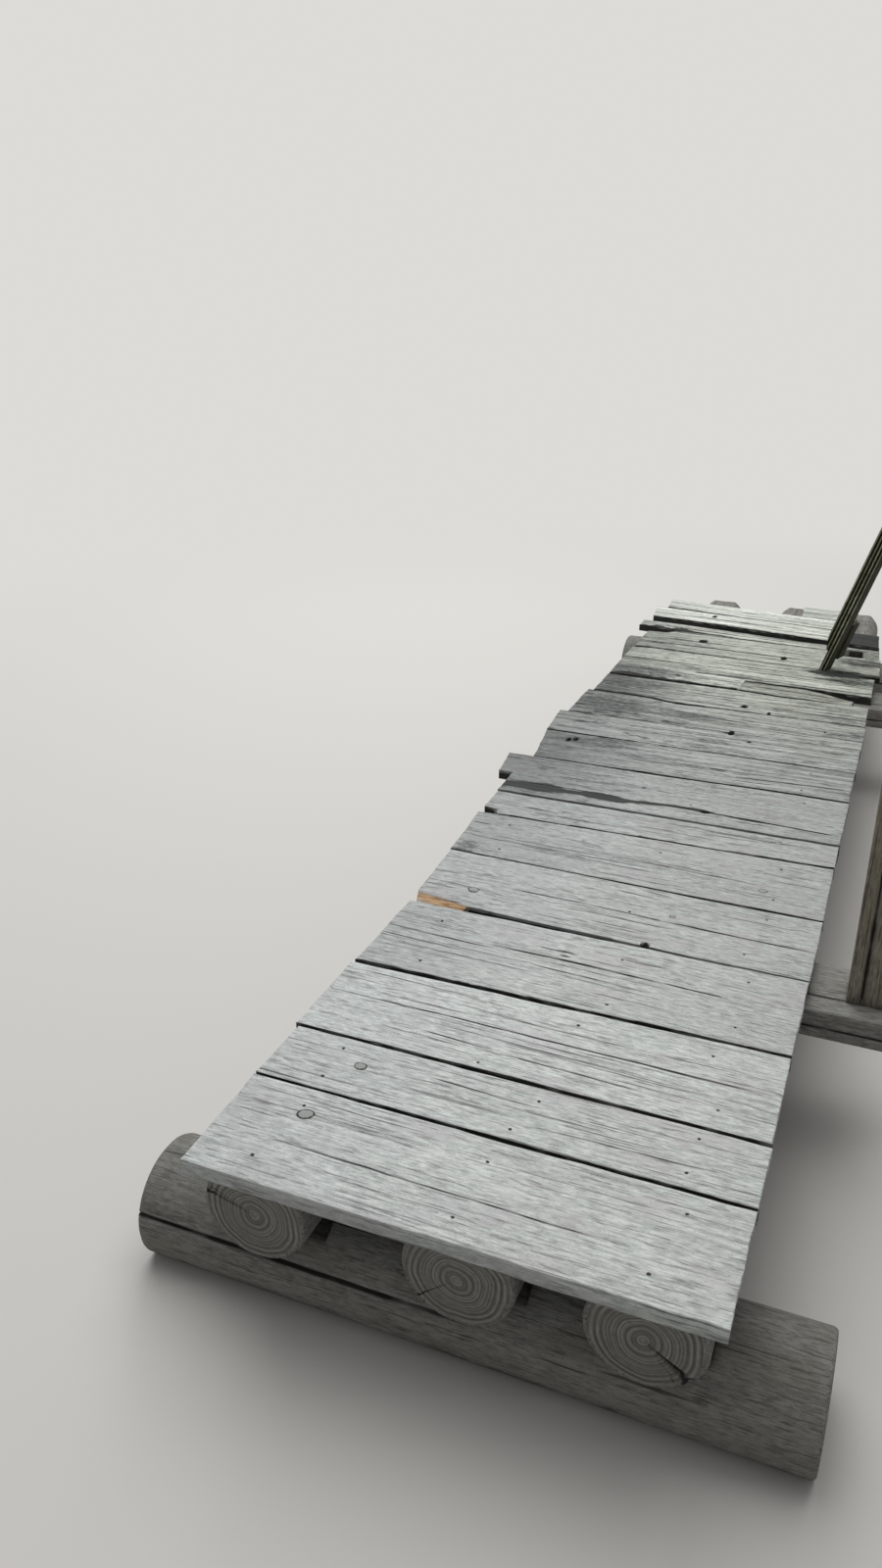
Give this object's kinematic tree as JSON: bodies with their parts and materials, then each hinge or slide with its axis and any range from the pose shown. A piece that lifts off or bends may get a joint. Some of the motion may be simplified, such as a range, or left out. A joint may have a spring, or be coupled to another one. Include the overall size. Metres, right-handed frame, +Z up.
{
  "type": "small plank footbridge on log stringers",
  "caption": "Old timber footbridge: weathered grey planks nailed across hewn log stringers, with a plain handrail on one side and a raking strut.",
  "frame": {"origin": "middle of the near sill's flat underside, on the deck's centre line", "axes": "+Y along the bridge to the far sill, +X to the side with the handrail, +Z up"},
  "size_m": [1.33, 4.251, 1.47],
  "materials": {
    "deck_planks": "silver-grey weathered rough-sawn softwood",
    "rotten_wood": "dark, damp, split wood",
    "logs": "debarked log, brown-grey, checked",
    "bearer_timber": "hewn grey-brown timber",
    "rail_timber": "weathered sawn timber",
    "strut_timber": "deeply grooved dark weathered timber with pale ridges"
  },
  "bodies": {
    "root": {"plank_01": "deck_planks", "plank_02": "deck_planks", "plank_03": "deck_planks", "plank_04": "deck_planks", "plank_05": "deck_planks", "plank_06": "deck_planks", "plank_07": "deck_planks", "plank_08": "deck_planks", "plank_09": "deck_planks", "plank_10": "deck_planks", "plank_11": "deck_planks", "plank_12": "deck_planks", "plank_13": "deck_planks", "plank_14": "deck_planks", "plank_15": "deck_planks", "plank_16": "deck_planks", "plank_17": "deck_planks", "plank_18": "deck_planks", "plank_19": "deck_planks", "broken_strip": "rotten_wood", "left_stringer": "logs", "middle_stringer": "logs", "right_stringer": "logs", "near_sill": "logs", "far_sill": "logs", "near_cross_bearer": "bearer_timber", "far_cross_bearer": "bearer_timber", "near_post": "rail_timber", "far_post": "rail_timber", "top_rail": "rail_timber", "lower_rail": "rail_timber", "raking_strut": "strut_timber", "strut_cleat": "strut_timber"}
  },
  "joints": []
}
